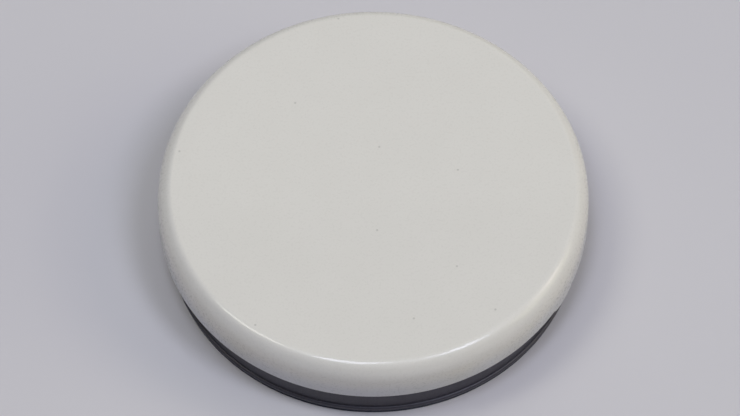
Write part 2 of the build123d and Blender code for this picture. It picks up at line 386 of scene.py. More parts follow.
def white_gloss():
    finish = Finish("white_gloss", IOR=1.5, Specular_IOR_Level=0.25, Coat_Roughness=0.05, Coat_IOR=1.5)
    height = finish.parts(finish.place())[2]
    wall = height.ramp(high("cover") - 0.3, low("cover") + 0.4)
    # faint yellow patches on the wall, placed at random by noise
    wall_yellow_patches = finish.noise(0.35, 2.0).ramp(0.45, 0.75) * wall
    cloudy = finish.noise(0.9, 4.0)
    on_top = height.ramp(high("cover") - 0.02, high("cover"))
    specks = sparse_specks(finish, 0.9, 0.045, 0.16, flat=True) * on_top
    clean = finish.mix(cloudy, (0.742, 0.715, 0.665), (0.770, 0.743, 0.695))
    patch_tinted_colour = finish.mix(wall_yellow_patches * 0.5, clean, (0.71, 0.66, 0.50))
    # painted shade: towards the rim the wall's colour is multiplied darker and bluer
    painted_wall_shade = height.ramp(high("cover") - 0.55, low("cover") + 0.32)
    values = {"Factor": painted_wall_shade, "A": patch_tinted_colour, "B": (0.77, 0.79, 0.87, 1.0)}
    wall_shaded_colour = finish.node("Mix", {"data_type": "RGBA", "blend_type": "MULTIPLY"}, values)
    colour = finish.mix(specks * 0.4, wall_shaded_colour, (0.33, 0.31, 0.28))
    finish.feed(Base_Color=colour)
    finish.feed(Roughness=finish.noise(14.0, 3.0).ramp(0.3, 0.8, (0.26, 0.36)))
    finish.feed(Coat_Weight=finish.noise(2.2).ramp(0.2, 0.8, (0.42, 0.54)))
    ripple = finish.noise(1.6, 2.0) * 0.6 + finish.noise(22.0, 2.0) * 0.02
    return finish.relief(ripple, 0.002)


cover_finish = white_gloss()
print("cover finish:", len(cover_finish.node_tree.nodes), "nodes")

# %% [markdown]
# The cap is turned from its outline: flat top, a top edge that rolls over in an ellipse, a straight wall, a
# rounded rim, and the inside. The small stub under the rim is what is left of the moulding gate after it is
# snapped off, so its lower edge is uneven.

# %% Make the cover
COVER_HEIGHT, COVER_WALL = 1.34, 0.30
EDGE_REACH, EDGE_DROP = 0.40, 0.62
RIM_ROUND, CEILING_ROUND = 0.04, 0.15
GATE_ANGLE, GATE_WIDTH, GATE_DEPTH = -28, 0.95, 0.25
GATE_ROOT, GATE_DROP, GATE_RAGGED = 0.08, 0.165, 0.03


def cover_outline(edge_steps=28):
    radius, top = round_reach("cover"), high("cover")
    flat, wall_top, rim = radius - EDGE_REACH, top - EDGE_DROP, top - COVER_HEIGHT
    bore, ceiling = radius - COVER_WALL, high("cover_adhesive")
    outside = [(0.0, top), (flat - 0.6, top), (flat - 0.05, top)]
    rolled = arc((flat, wall_top), (EDGE_REACH, EDGE_DROP), 90, 0, edge_steps)
    inside = rounded([
        (radius, wall_top, 0),
        (radius, rim, RIM_ROUND),
        (bore, rim, RIM_ROUND),
        (bore, ceiling, CEILING_ROUND),
        (0.0, ceiling, 0),
    ], closed=False)
    return outside + rolled + inside[1:]


def gate_stub(shape, seed=28, steps=18):
    """The snapped-off gate: a short block that follows the rim, just inside the wall, ragged below."""
    draw = random.Random(seed)
    radius, rim = round_reach("cover") - 0.008, high("cover") - COVER_HEIGHT
    back, root = radius - GATE_DEPTH, rim + GATE_ROOT
    half = math.degrees(GATE_WIDTH / 2 / radius)
    loops = []
    for k in range(steps + 1):
        along = 2 * k / steps - 1
        angle = math.radians(GATE_ANGLE + half * along)
        shoulder = 1 - abs(along) ** 6
        drop = (GATE_DROP - GATE_RAGGED * draw.random()) * (0.55 + 0.45 * shoulder)
        bulge = 0.004 * draw.random()
        section = rounded([
            (back, root, 0.01),
            (back + 0.01, rim - drop * 0.93, 0.03),
            (radius - bulge, rim - drop, 0.035),
            (radius, root, 0.01),
        ], steps=4)
        loops.append([(r * math.cos(angle), r * math.sin(angle), z) for r, z in section])
    first = shape.skin(loops)
    size = len(loops[0])
    shape.faces.append(tuple(first + n for n in range(size)))
    shape.faces.append(tuple(first + steps * size + n for n in range(size)))


cover_shape = Shape().turned(cover_outline())
gate_stub(cover_shape)
cover_shape.piece("cover_cap", "stator", "cover_white", cover_finish, ["cover"])

# %% [markdown]
# ## The dark steel case
# Drawn steel with a dark electro-coat. The coat is satin and a little uneven: drawing leaves faint upright
# lines on the wall, and edges wear through to metal. The lines come from noise squeezed round the wall, and
# the wear from the height itself, broken up by noise.

# %% Finish of the coated steel, and the case
def coated_steel(name, worn_levels):
    finish = Finish(name, IOR=1.5)
    x, y, z = finish.parts(finish.place())
    drawn = finish.node("CombineXYZ", values={0: x * 6, 1: y * 6, 2: z * 0.8})
    lines = finish.noise(2.5, 4.0, 0.6, drawn)
    grain = finish.noise(30.0, 3.0)
    worn = None
    for level in worn_levels:
        line = (z - level).band(0.03)
        worn = line if worn is None else worn.most(line)
    rubbed = worn * finish.noise(3.5, 4.0, 0.7).ramp(0.56, 0.70)
    dark = finish.mix(lines, (0.044, 0.041, 0.054), (0.070, 0.066, 0.088))
    finish.feed(Base_Color=finish.mix(rubbed, dark, (0.42, 0.41, 0.40)))
    finish.feed(Roughness=grain.ramp(0.2, 0.8, (0.34, 0.50)))
    finish.feed(Metallic=rubbed.ramp(0.2, 0.8, (0.2, 1.0)))
    return finish.relief(lines * 0.6 + grain * 0.25, 0.004)


CASE_WALL, CASE_SHOULDER = 0.20, 0.30
case_radius, case_low, case_high = reach("case"), low("case"), high("case")
case_bore, case_ceiling = case_radius - CASE_WALL, case_high - CASE_WALL
pin_radius = reach("shaft")
case_shape = Shape().turned(rounded([
    (pin_radius, case_high, 0.03),
    (pin_radius, case_ceiling, 0.02),
    (case_bore, case_ceiling, 0.12),
    (case_bore, case_low, 0.03),
    (case_radius, case_low, 0.006),
    (case_radius, case_high, CASE_SHOULDER),
]))
case_shape.piece("case_shell", "stator", "case_black", coated_steel("case_coat", (case_low,)), ["case"])

# %% [markdown]
# ## The base plate
# A disc blanked and coined from sheet: a flange, a raised spigot that centres the case, a recess and channel
# for the flex circuit, and a drawn collar that holds the pin. Each level is a flat slab with its own
# rounded edge, sunk a little into the one below, so no two faces lie in the same plane.

# %% Flange, spigot and collar
FLANGE_TOP, FLANGE_EDGE, NOTCH_HALF, NOTCH_START = 0.30, 0.055, 1.1, 5.1
SPIGOT_RADIUS, RECESS_RADIUS, CHANNEL_HALF = 5.47, 2.35, 1.0
COLLAR_RADIUS, COLLAR_TOP = 0.75, 0.85
SUNK = 0.02


def polar(radius, degrees, corner=0.0):
    """A corner point given by its radius and angle."""
    return radius * math.cos(math.radians(degrees)), radius * math.sin(math.radians(degrees)), corner


def bow(radius, start, end, clear=0.25, spacing=0.15):
    """Points along an arc, kept clear of the corners at its ends by a length in millimetres."""
    gap = math.copysign(math.degrees(clear / radius), end - start)
    length = radius * math.radians(abs(end - start)) - 2 * clear
    steps = max(1, round(length / spacing))
    return [(*p, 0) for p in arc((0, 0), (radius, radius), start + gap, end - gap, steps)]


def angle_at(radius, across):
    """How far from +Y a point on a circle is, in degrees, if it lies across from the Y axis."""
    return math.degrees(math.asin(across / radius))


def slotted_disc(radius, half_width, start, mouth_corner, end_corner):
    """A disc with a slot that runs in from +Y and ends at start."""
    mouth = angle_at(radius, half_width)
    return rounded([
        polar(radius, 90 + mouth, mouth_corner), *bow(radius, 90 + mouth, 450 - mouth),
        polar(radius, 90 - mouth, mouth_corner),
        (half_width, start, end_corner), (-half_width, start, end_corner),
    ])


flange_low = low("base_plate")
flange = slotted_disc(reach("base_plate"), NOTCH_HALF, NOTCH_START, 0.08, 0.1)
mouth, throat = angle_at(SPIGOT_RADIUS, CHANNEL_HALF), angle_at(RECESS_RADIUS, CHANNEL_HALF)
spigot = rounded([
    polar(SPIGOT_RADIUS, 90 + mouth, 0.06), *bow(SPIGOT_RADIUS, 90 + mouth, 450 - mouth),
    polar(SPIGOT_RADIUS, 90 - mouth, 0.06), polar(RECESS_RADIUS, 90 - throat, 0.06),
    *bow(RECESS_RADIUS, 90 - throat, throat - 270), polar(RECESS_RADIUS, 90 + throat, 0.06),
])
plate_shape = Shape()
plate_shape.slab(flange, flange_low, FLANGE_TOP, FLANGE_EDGE, [circle(pin_radius, 64, clockwise=True)])
plate_shape.slab(spigot, FLANGE_TOP - SUNK, low("magnet_adhesive"), 0.02)
plate_shape.turned(rounded([
    (pin_radius, COLLAR_TOP, 0.02), (pin_radius, FLANGE_TOP - SUNK, 0.005),
    (COLLAR_RADIUS, FLANGE_TOP - SUNK, 0.005), (COLLAR_RADIUS, COLLAR_TOP, 0.06),
]), steps=SMALL_STEPS)
plate_finish = coated_steel("plate_coat", (flange_low, COLLAR_TOP))
plate_shape.piece("base_plate_pressed", "stator", "plate_black", plate_finish, ["base_plate"])

# %% [markdown]
# ## The mounting pad
# Acrylic foam tape, die-cut to the disc and slotted round the contacts. Foam is matt and made of tiny
# closed cells, which show best at the cut edge; Voronoi cells give that grain where plain noise looks stony.

# %% Foam pad
def foam():
    finish = Finish("foam_black", Specular_IOR_Level=0.3)
    grain = {"Vector": finish.place(), "Scale": 14.0}
    cells = finish.node("TexVoronoi", {"feature": "F1"}, grain, "Distance")
    patches = finish.noise(0.8, 3.0)
    finish.feed(Base_Color=finish.mix(patches, (0.036, 0.038, 0.056), (0.058, 0.062, 0.090)))
    finish.feed(Roughness=cells.ramp(0.0, 0.6, (0.95, 0.75)))
    return finish.relief(cells, 0.02)


PAD_SLOT_HALF, PAD_SLOT_START = 1.1, 2.4
pad = slotted_disc(reach("adhesive_pad"), PAD_SLOT_HALF, PAD_SLOT_START, 0.08, 0.2)
pad_shape = Shape().slab(pad, low("adhesive_pad"), high("adhesive_pad"), 0.015)
pad_shape.piece("foam_pad", "stator", "pad_foam", foam(), ["adhesive_pad"])

# %% [markdown]
# ## The flex circuit
# Amber polyimide with copper tracks between its two films: a ring under the rotor, and a tongue that leaves
# through the plate's channel and folds back underneath. The tracks are flat inside the film, so they belong
# in the finish and not in the mesh. They are drawn as masks in millimetres: arcs round the collar, then two
# straight runs down the tongue.

# %% Flex circuit
FLEX_INNER, FLEX_OUTER, TONGUE_HALF, TONGUE_FROM = 0.80, 2.30, 0.9, 1.9
TRACK_RING, TRACK_ACROSS = 1.62, 0.45


def amber_film():
    finish = Finish("amber_film", IOR=1.6, Coat_Roughness=0.15)
    x, y, z = finish.parts(finish.place())
    away = (x * x + y * y) ** 0.5
    arcs = (away - TRACK_RING).band(0.36) * x.size().ramp(0.12, 0.15) * y.ramp(1.75, 1.70)
    runs = (x.size() - TRACK_ACROSS).band(0.25) * y.ramp(1.40, 1.45)
    track = arcs.most(runs)
    weave = finish.noise(5.0, 4.0)
    amber = finish.mix(weave, (0.46, 0.21, 0.035), (0.55, 0.27, 0.05))
    finish.feed(Base_Color=finish.mix(track, amber, (0.36, 0.125, 0.03)))
    finish.feed(Roughness=weave.ramp(0.2, 0.8, (0.28, 0.40)), Coat_Weight=track.ramp(0.0, 1.0, (0.35, 0.5)))
    return finish.relief(track * 0.8 + weave * 0.2, 0.008)


flex_mid = (low("magnet_adhesive") + FLANGE_TOP) / 2
flex_half = low("magnet_adhesive") - flex_mid
return_mid = flange_low - flex_half
bend_radius = (flex_mid - return_mid) / 2
bend = arc((NOTCH_START, (flex_mid + return_mid) / 2), (bend_radius, bend_radius), 90, -90, 14)
flex_path = [(TONGUE_FROM, flex_mid), (3.5, flex_mid), *bend, (3.8, return_mid), (2.6, return_mid)]
flex_hole = circle(FLEX_INNER, SMALL_STEPS, clockwise=True)
flex_shape = Shape()
flex_shape.slab(circle(FLEX_OUTER, 128), FLANGE_TOP, FLANGE_TOP + 2 * flex_half, 0.01, [flex_hole])
flex_shape.strip(flex_path, [(-TONGUE_HALF, TONGUE_HALF)] * len(flex_path), 2 * flex_half - 0.002)
flex_shape.piece("flex_film", "stator", "flex_amber", amber_film(), ["flex_circuit"])

# %% [markdown]
# ## Gold: the contact pads and the commutator
# Both are copper with a thin gold plate. On the pads the plate is clean with fine scratches. On the
# commutator the brushes polish two narrow rings, so the finish takes the radii that are rubbed.

# %% Gold plate and contact pads
def gold_plate(name, rubbed_radii=()):
    finish = Finish(name, Metallic=1.0)
    x, y, z = finish.parts(finish.place())
    away = (x * x + y * y) ** 0.5
    brushed = finish.node("CombineXYZ", values={0: x * 7, 1: y, 2: z})
    cloud, scratch = finish.noise(2.5, 4.0), finish.noise(9.0, 3.0, 0.6, brushed)
    gold = finish.mix(cloud, (0.78, 0.55, 0.22), (0.86, 0.65, 0.30))
    rough = scratch.ramp(0.3, 0.7, (0.24, 0.36))
    for radius in rubbed_radii:
        ring = (away - radius).band(0.11, 0.06)
        gold = finish.mix(ring * 0.7, gold, (0.62, 0.47, 0.27))
        rough = rough - ring * 0.10
    finish.feed(Base_Color=gold, Roughness=rough)
    return finish.relief(scratch, 0.002)


CONTACT_HALF_WIDTH, CONTACT_HALF_LENGTH, CONTACT_MIDDLE, CONTACT_ROUND = 0.35, 0.95, 3.75, 0.15
PLATE_EDGE, SEATED = 0.008, 0.004
contact_shape = Shape()
for side in (-1, 1):
    across = side * TRACK_ACROSS
    outline = rounded([
        (across + x * CONTACT_HALF_WIDTH, CONTACT_MIDDLE + y * CONTACT_HALF_LENGTH, CONTACT_ROUND)
        for x, y in ((-1, -1), (1, -1), (1, 1), (-1, 1))
    ])
    contact_shape.slab(outline, low("contact_pads"), high("contact_pads") + SEATED, PLATE_EDGE)
contact_shape.piece("contact_plates", "stator", "contact_gold", gold_plate("pad_gold"), ["contact_pads"])

# %% [markdown]
# The commutator is six segments, each a sector of a ring with a thin gap to the next. The same outline, a
# sector with four rounded corners, serves the coils and the weight later, so it is a function. Each segment
# is seated a few micrometres into the board, so that no gap shows under it.

# %% Commutator segments
def ring_sector(inner, outer, half_angle, corner, turn=0.0, spacing=0.15):
    """A sector of a ring with rounded corners, each arc tangent to its neighbours. Anticlockwise."""
    outer_turn = half_angle - math.degrees(math.asin(corner / (outer - corner)))
    inner_turn = half_angle - math.degrees(math.asin(corner / (inner + corner)))
    outer_steps = max(2, round(math.radians(outer_turn) * outer / spacing))
    inner_steps = max(2, round(math.radians(inner_turn) * inner / spacing))
    bend_steps = max(5, round(corner * 12))
    outer_bend, inner_bend = polar(outer - corner, outer_turn)[:2], polar(inner + corner, inner_turn)[:2]
    half = arc((0, 0), (outer, outer), 0, outer_turn, outer_steps)
    half += arc(outer_bend, (corner, corner), outer_turn, half_angle + 90, bend_steps)[1:]
    half += arc(inner_bend, (corner, corner), half_angle + 90, inner_turn + 180, bend_steps)
    half += arc((0, 0), (inner, inner), inner_turn, 0, inner_steps)[1:]
    loop = half + [(x, -y) for x, y in half[-2:0:-1]]
    c, s = math.cos(math.radians(turn)), math.sin(math.radians(turn))
    return [(x * c - y * s, x * s + y * c) for x, y in loop]


BRUSH_RINGS = (1.53, 1.73)
SEGMENT_INNER, SEGMENT_OUTER, SEGMENT_HALF, SEGMENT_ROUND = 1.00, 2.25, 27, 0.08
segment_low, segment_top = low("commutator_segments"), high("commutator_segments") + SEATED
segment_shape = Shape()
for number in range(6):
    segment = ring_sector(SEGMENT_INNER, SEGMENT_OUTER, SEGMENT_HALF, SEGMENT_ROUND, 30 + 60 * number)
    segment_shape.slab(segment, segment_low, segment_top, PLATE_EDGE)
segment_finish = gold_plate("commutator_gold", BRUSH_RINGS)
segment_shape.piece("commutator_bars", "rotor", "contact_gold", segment_finish, ["commutator_segments"])

# %% [markdown]
# ## The pin, washers, sleeve and magnet
# These are turned parts, so one lathe outline each is both the simplest and the truest way. What sets them
# apart is the surface. The pin is ground, with rings too fine to see one by one; the sleeve is pressed from
# bronze powder, and shows pores; the magnet is plated, so its edges are round and its face gently uneven.

# %% Turned metal parts
def turned_metal(name, first, second, rough, squeeze=(1, 1, 1), scale=8.0, depth=0.003, pores=0.0):
    """Bare or plated metal. squeeze stretches its grain; pores is the share of cells holding a small pore,
    painted dark as shade.
    """
    finish = Finish(name, Metallic=1.0)
    x, y, z = finish.parts(finish.place())
    at = finish.node("CombineXYZ", values={0: x * squeeze[0], 1: y * squeeze[1], 2: z * squeeze[2]})
    grain = finish.noise(scale, 4.0, 0.6, at)
    stain = finish.noise(0.9, 4.0)
    colour = finish.mix(stain, first, second)
    height = grain * 0.6
    if pores:
        pits_and_pit_shade = sparse_specks(finish, 13.0, 0.022, pores)
        # painted shade: each pore's colour is the metal's own colour darkened to a third
        colour = finish.mix(pits_and_pit_shade * 0.8, colour, tuple(0.3 * c for c in first))
        height = height - pits_and_pit_shade * 0.8
    finish.feed(Base_Color=colour, Roughness=(grain * 0.5 + stain * 0.5).ramp(0.3, 0.7, rough))
    return finish.relief(height, depth)


def turned_part(node, edge, hole=0.0, steps=TURN_STEPS):
    """A plain turned part that fills a CAD node's box, with rounded edges and maybe a hole."""
    radius, bottom, top = reach(node), low(node), high(node)
    hole_edge = edge if hole else 0
    outline = rounded([
        (hole, bottom, hole_edge), (radius, bottom, edge), (radius, top, edge), (hole, top, hole_edge)
    ], closed=bool(hole))
    return Shape().turned(outline, steps=steps)


steel = turned_metal(
    "ground_steel", (0.56, 0.56, 0.57), (0.66, 0.66, 0.66), (0.16, 0.26), (0.3, 0.3, 9), 6.0, 0.002
)
turned_part("shaft", 0.04, steps=SMALL_STEPS).piece("pin", "stator", "shaft_steel", steel, ["shaft"])

BEARING_PLAY = 0.02
bronze = turned_metal(
    "sintered_bronze", (0.44, 0.27, 0.14), (0.56, 0.38, 0.21), (0.36, 0.52), depth=0.006, pores=0.55
)
sleeve = turned_part("bearing", 0.05, pin_radius + BEARING_PLAY, 128)
sleeve.piece("sleeve", "rotor", "bearing_bronze", bronze, ["bearing"])

MAGNET_HOLE = 2.5
nickel = turned_metal(
    "nickel_plate", (0.60, 0.59, 0.55), (0.70, 0.69, 0.66), (0.18, 0.32), scale=3.5, depth=0.005
)
magnet = turned_part("magnet", 0.06, MAGNET_HOLE)
magnet.piece("ring_magnet", "stator", "magnet_nickel", nickel, ["magnet"])

# %% [markdown]
# ## Films and glue
# The washers are punched polyester, slightly milky; the bond under the cover is thin clear film; the magnet
# sits on cured glue. All let some light through, so they use transmission, and noise varies how rough they
# are, and with that how much they scatter. The two films are flat rounds, so they are turned like the metal.

# %% Washers and the bond under the cover
def film(name, first, second, rough, through):
    finish = Finish(name, IOR=1.5, Transmission_Weight=through)
    haze = finish.noise(3.0, 4.0)
    finish.feed(Base_Color=finish.mix(haze, first, second), Roughness=haze.ramp(0.3, 0.7, rough))
    return finish.relief(finish.noise(11.0, 2.0), 0.003)


milky = film("milky_film", (0.74, 0.73, 0.67), (0.82, 0.81, 0.76), (0.35, 0.5), 0.35)
for side in ("lower", "upper"):
    node = side + "_washer"
    washer = turned_part(node, 0.015, pin_radius + SEATED, SMALL_STEPS)
    washer.piece(side + "_thrust_washer", "stator", "washer_film", milky, [node])
clear = film("clear_film", (0.76, 0.75, 0.66), (0.83, 0.82, 0.75), (0.3, 0.45), 0.5)
bond = turned_part("cover_adhesive", 0.01)
bond.piece("bond_disc", "stator", "bond_film", clear, ["cover_adhesive"])

# %% [markdown]
# Glue squeezed out under the magnet has an edge that wanders, which a lathe can't make. Its outline is a
# circle with a few slow waves, and a slab is cut to it. The seeds only choose where the waves start.

# %% Glue under the magnet
def wavy(radius, sway, seed, steps=200):
    """A circle whose radius wanders by up to sway."""
    draw = random.Random(seed)
    waves = [(n, draw.random() * 2 * math.pi, draw.random() / n) for n in (3, 5, 8, 13, 21)]
    loop = []
    for k in range(steps):
        t = 2 * math.pi * k / steps
        r = radius + sway * sum(size * math.sin(n * t + phase) for n, phase, size in waves)
        loop.append((r * math.cos(t), r * math.sin(t)))
    return loop


GLUE_INNER, GLUE_OUTER, GLUE_SWAY, GLUE_EDGE = 2.6, 4.88, 0.05, 0.008
glue = film("amber_glue", (0.50, 0.42, 0.22), (0.60, 0.52, 0.30), (0.2, 0.35), 0.4)
glue_hole, glue_rim = wavy(GLUE_INNER, GLUE_SWAY, 4)[::-1], wavy(GLUE_OUTER, GLUE_SWAY, 3)
glue_shape = Shape()
glue_shape.slab(glue_rim, low("magnet_adhesive"), high("magnet_adhesive"), GLUE_EDGE, [glue_hole])
glue_shape.piece("magnet_glue_ring", "stator", "magnet_glue", glue, ["magnet_adhesive"])

# %% [markdown]
# ## The leaf brushes
# Each brush is a springy strip of precious-metal alloy, split into two fingers so that one always touches.
# It is bent in a tool: a flat foot, a rise, and a knee that rubs the commutator. A strip that follows the
# bent line keeps the metal's thickness through every bend, which a deformed block would not.

# %% Brushes
BRUSH_WIDTH, BRUSH_THICK, BRUSH_OFFSET, BRUSH_BEND, BRUSH_GAP = 0.50, 0.06, 1.15, 0.2, 0.01
BRUSH_FOOT, BRUSH_RISE, BRUSH_KNEE, BRUSH_TIP = -1.80, -1.00, 1.15, 1.45
SLIT_WIDTH, SLIT_START, SLIT_ROUND, FINGERS_MEET = 0.08, -0.30, 0.10, 0.01
foot_level = low("magnet_adhesive") + BRUSH_THICK / 2
knee_level = low("commutator_segments") - BRUSH_GAP - BRUSH_THICK / 2


def brush_line(spacing=0.12):
    """The strip's middle line as (y, z), with points no further apart than its bends need."""
    bent = rounded([
        (BRUSH_FOOT, foot_level, 0), (BRUSH_RISE, foot_level, BRUSH_BEND),
        (BRUSH_KNEE, knee_level + 0.014, BRUSH_BEND), (BRUSH_TIP, knee_level - 0.12, 0),
    ], steps=10, closed=False)
    line = [bent[0]]
    for a, b in zip(bent, bent[1:]):
        pieces = max(1, round(math.dist(a, b) / spacing))
        for k in range(1, pieces + 1):
            line.append(tuple(start + (end - start) * k / pieces for start, end in zip(a, b)))
    return line


def finger_sides(line, side):
    """Where one finger's two sides are along the strip: whole at the foot, then apart from the slit on."""
    sides = []
    for y, _ in line:
        apart = min(1.0, max(0.0, (y - SLIT_START) / SLIT_ROUND))
        inner = -FINGERS_MEET + (SLIT_WIDTH / 2 + FINGERS_MEET) * math.sqrt(1 - (1 - apart) ** 2)
        outer = BRUSH_WIDTH / 2
        sides.append((inner, outer) if side > 0 else (-outer, -inner))
    return sides


alloy = turned_metal(
    "brush_alloy", (0.64, 0.58, 0.45), (0.74, 0.69, 0.56), (0.22, 0.34), (9, 1, 1), 6.0, 0.002
)
line = brush_line()
for name, across in (("positive", BRUSH_OFFSET), ("negative", -BRUSH_OFFSET)):
    brush_shape = Shape()
    for side in (-1, 1):
        sides = [(a + across, b + across) for a, b in finger_sides(line, side)]
        brush_shape.strip(line, sides, BRUSH_THICK, 0.012)
    brush_shape.piece("leaf_brush_" + name, "stator", "brush_alloy", alloy, ["brush_" + name])

# %% [markdown]
# ## Solder
# Molten solder wets the metal, so a joint is a dome with a hollow skirt that thins to nothing, not a bead.
# The outline below makes that curve, and the finish is bright with the faint frost of fast cooling.

# %% Solder joints
def solder_dome(shape, spot, radius, height, level, steps=16):
    """A dome on a spot: steep in the middle, flowing out to nothing, and seated in what it wets."""
    wetted = [(radius * k / steps, height * (1 - (k / steps) ** 2) ** 1.35) for k in range(steps + 1)]
    seat = level - SEATED
    outline = [(r, level + h) for r, h in wetted] + [(radius - SEATED, seat), (0.0, seat)]
    shape.turned(outline, spot, 3 * steps)


solder = turned_metal(
    "solder_bright", (0.66, 0.66, 0.65), (0.76, 0.76, 0.75), (0.14, 0.34), scale=12.0, depth=0.006
)
FOOT_JOINT_Y, FOOT_JOINT_RADIUS = -1.40, 0.22
foot_top = foot_level + BRUSH_THICK / 2
foot_height = high("brush_solder") - foot_top
foot_shape = Shape()
for side in (-1, 1):
    solder_dome(foot_shape, (side * BRUSH_OFFSET, FOOT_JOINT_Y), FOOT_JOINT_RADIUS, foot_height, foot_top)
foot_shape.piece("foot_solder", "stator", "solder", solder, ["brush_solder"])

JOINT_ANGLE, JOINT_RADII, JOINT_RADIUS = 99.8, (3.0, 4.2), 0.16
board_top = high("commutator_board")
joint_height = high("coil_solder") - board_top
joint_shape = Shape()
for side in (-1, 1):
    for away in JOINT_RADII:
        spot = polar(away, side * JOINT_ANGLE)[:2]
        solder_dome(joint_shape, spot, JOINT_RADIUS, joint_height, board_top)
joint_shape.piece("lead_solder", "rotor", "solder", solder, ["coil_solder"])

# %% [markdown]
# ## The commutator board
# Glass-fibre laminate under green solder mask: a disc round the sleeve, and a fan under the coils. Copper
# shows through the mask as a lighter, raised green, and it is bare at the four pads. As on the flex circuit,
# the tracks are masks in the board's own millimetres, here in polar form because the board is a fan.

# %% Commutator board
HUB_RADIUS, FAN_HALF = 2.35, 104


def green_mask():
    finish = Finish("green_mask", IOR=1.5, Coat_Roughness=0.2)
    x, y, z = finish.parts(finish.place())
    away = (x * x + y * y) ** 0.5
    bare = None
    for radius in JOINT_RADII:
        px, py, _ = polar(radius, JOINT_ANGLE)
        near = ((x - px) * (x - px) + (y.size() - py) * (y.size() - py)) ** 0.5
        pad = near.ramp(0.27, 0.25)
        bare = pad if bare is None else bare.most(pad)
    inward = x - polar(1, JOINT_ANGLE)[0] * away
    runs = inward.band(0.16) * away.ramp(HUB_RADIUS - 0.2, HUB_RADIUS - 0.1) * away.ramp(4.3, 4.2)
    copper = runs.most((away - 2.0).band(0.30))
    threads = {"Vector": finish.place(), "Scale": 1.6, "Distortion": 0.8}
    weave = finish.node("TexWave", {"wave_type": "BANDS"}, threads, "Fac")
    cloth = finish.noise(4.0, 3.0) * 0.6 + weave * 0.4
    green = finish.mix(cloth, (0.010, 0.085, 0.036), (0.016, 0.120, 0.052))
    green = finish.mix(copper * 0.8, green, (0.040, 0.21, 0.085))
    finish.feed(Base_Color=finish.mix(bare, green, (0.80, 0.58, 0.26)))
    finish.feed(Metallic=bare, Roughness=cloth.ramp(0.2, 0.8, (0.30, 0.42)))
    return finish.relief(copper * 0.8 + cloth * 0.15, 0.012)


def fan_and_hub(outer, hub, half, outer_corner, hub_corner):
    """A fan towards +X with a round hub behind it."""
    return rounded([
        polar(outer, -half, outer_corner), *bow(outer, -half, half), polar(outer, half, outer_corner),
        polar(hub, half, hub_corner), *bow(hub, half, 360 - half), polar(hub, -half, hub_corner),
    ])


fan = fan_and_hub(reach("commutator_board"), HUB_RADIUS, FAN_HALF, 0.15, 0.10)
hub_hole = circle(reach("bearing") + SEATED, SMALL_STEPS, clockwise=True)
board_shape = Shape().slab(fan, low("commutator_board"), board_top, 0.012, [hub_hole])
board_shape.piece("green_board", "rotor", "board_green", green_mask(), ["commutator_board"])

# %% [markdown]
# ## The moulded frame
# Black glass-filled resin, moulded round the sleeve: a thin floor, a wall round each coil, a post in each
# coil's middle, and an open bay for the weight. The walls are one slab with the coils' pockets as holes,
# because the real walls are also one level. Glass filling makes the surface matt and faintly streaky.

# %% Rotor frame
ROTOR_HUB, FRAME_HALF, FRAME_CORNER, FRAME_EDGE = 1.50, 95.5, 0.12, 0.03
COIL_TURN, COIL_SIZES, COIL_BAND, COIL_FIT = 62, (1.80, 5.0, 30, 0.80), 0.68, 0.02
WEIGHT_INNER, WEIGHT_HALF, BAY_CORNER = 2.4, 26, 0.06
rotor_radius, rotor_top, pocket_floor = reach("counterweight"), high("rotor_frame"), low("coil_left")


def black_resin():
    finish = Finish("black_resin", Specular_IOR_Level=0.45)
    flow = finish.noise(4.0, 5.0, 0.65)
    speck = sparse_specks(finish, 9.0, 0.02, 0.35)
    dark = finish.mix(flow, (0.016, 0.016, 0.018), (0.034, 0.034, 0.037))
    finish.feed(Base_Color=finish.mix(speck * 0.25, dark, (0.14, 0.14, 0.14)))
    finish.feed(Roughness=flow.ramp(0.25, 0.75, (0.45, 0.65)))
    return finish.relief(flow * 0.7, 0.008)


def frame_walls():
    """The frame's outline above its floor: a fan and hub, with the weight's bay open to the rim."""
    rim, hub, half, bay = rotor_radius, ROTOR_HUB, FRAME_HALF, WEIGHT_HALF
    return rounded([
        polar(rim, bay, BAY_CORNER), *bow(rim, bay, half), polar(rim, half, FRAME_CORNER),
        polar(hub, half, FRAME_CORNER), *bow(hub, half, 360 - half), polar(hub, -half, FRAME_CORNER),
        polar(rim, -half, FRAME_CORNER), *bow(rim, -half, -bay), polar(rim, -bay, BAY_CORNER),
        polar(WEIGHT_INNER, -bay, BAY_CORNER), *bow(WEIGHT_INNER, -bay, bay),
        polar(WEIGHT_INNER, bay, BAY_CORNER),
    ])


coil_outlines = {side: ring_sector(*COIL_SIZES, turn=side * COIL_TURN) for side in (1, -1)}
frame_floor = fan_and_hub(rotor_radius, ROTOR_HUB, FRAME_HALF, FRAME_CORNER, FRAME_CORNER)
pockets = [inset(outline, -COIL_FIT)[::-1] for outline in coil_outlines.values()]
wall_foot = pocket_floor - SUNK
frame_shape = Shape()
frame_shape.slab(frame_floor, low("rotor_frame") + 0.002, pocket_floor, 0.012, [hub_hole])
frame_shape.slab(frame_walls(), wall_foot, rotor_top, FRAME_EDGE, [hub_hole, *pockets])
for outline in coil_outlines.values():
    frame_shape.slab(inset(outline, COIL_BAND + COIL_FIT), wall_foot, rotor_top, FRAME_EDGE)
frame_shape.piece("resin_frame", "rotor", "frame_resin", black_resin(), ["rotor_frame"])

# %% [markdown]
# ## The coils
# Each coil is wound from enamelled wire that is bonded to itself, so it needs no bobbin. Modelling every
# turn as a curve would cost a hundred curves; instead the section has one small bump for each wire, and the
# section is swept round the coil by insetting its outline. The bumps catch the light as turns of wire do.

# %% Coils
WIRE, WIRE_BUMP = 0.05, 0.010


